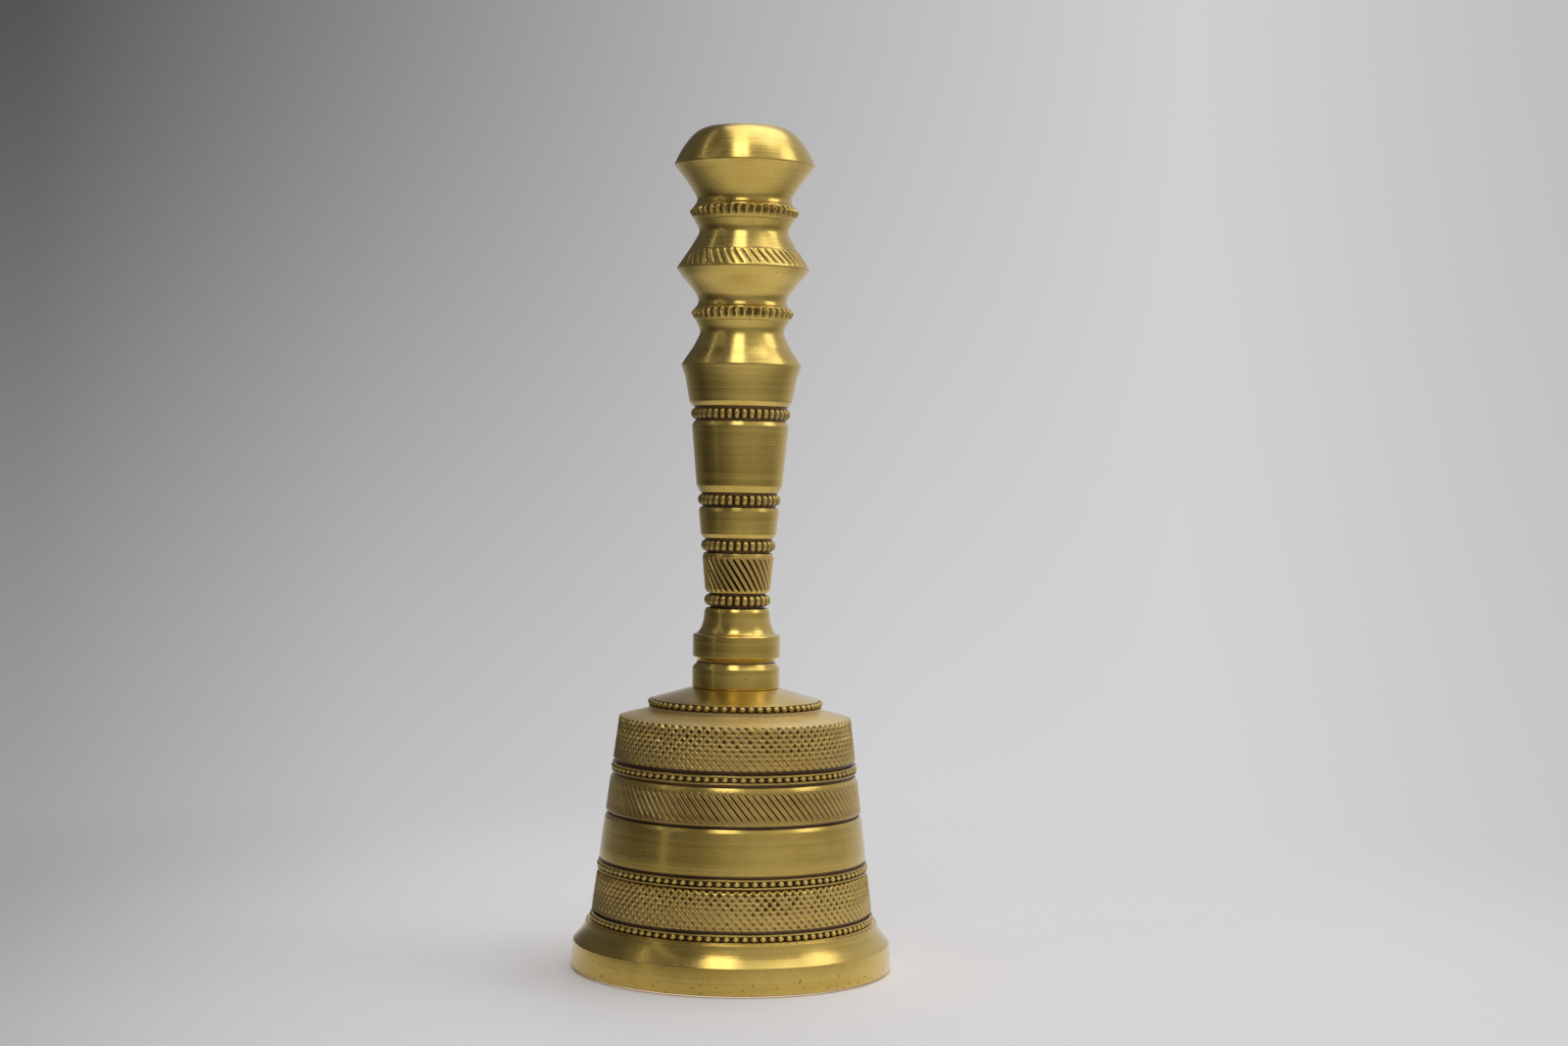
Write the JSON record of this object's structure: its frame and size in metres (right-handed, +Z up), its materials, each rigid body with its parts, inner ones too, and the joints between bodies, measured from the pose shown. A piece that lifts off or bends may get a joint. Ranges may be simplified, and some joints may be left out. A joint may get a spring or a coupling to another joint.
{
  "type": "brass hand bell",
  "caption": "Turned brass hand bell for household worship: banded flared cup, tall grip with sharp edges and beaded rings, and a free-swinging clapper.",
  "frame": {"origin": "middle of the rim, on the surface that the bell stands on", "axes": "+Z up along the axis of the bell from the rim to the knob; the link swings about X and the clapper about Y"},
  "size_m": [0.0726, 0.0726, 0.19],
  "materials": {
    "cup_brass": "turned and knurled, bright edges, darkened grooves",
    "handle_brass": "turned and polished, fine tool rings",
    "stud_steel": "plain screwed rod, dull",
    "washer_steel": "zinc plated, dull",
    "nut_steel": "zinc plated, dull",
    "link_wire": "drawn wire, worn",
    "clapper_brass": "turned, slightly dull"
  },
  "bodies": {
    "root": {"bell_shell": "cup_brass", "handle": "handle_brass", "handle_stud": "stud_steel", "crown_washer": "washer_steel", "fixing_nut": "nut_steel"},
    "link": {"clapper_link": "link_wire"},
    "clapper": {"clapper_rod": "clapper_brass", "clapper_ball": "clapper_brass"}
  },
  "joints": [
    {"name": "link_swing", "type": "hinge", "parent": "root", "child": "link", "pos_m": [0, 0, 0.0419], "axis": [1, 0, 0], "range_deg": [-26, 26]},
    {"name": "clapper_swing", "type": "hinge", "parent": "link", "child": "clapper", "pos_m": [0, 0, 0.0332], "axis": [0, 1, 0], "range_deg": [-52, 52]}
  ]
}
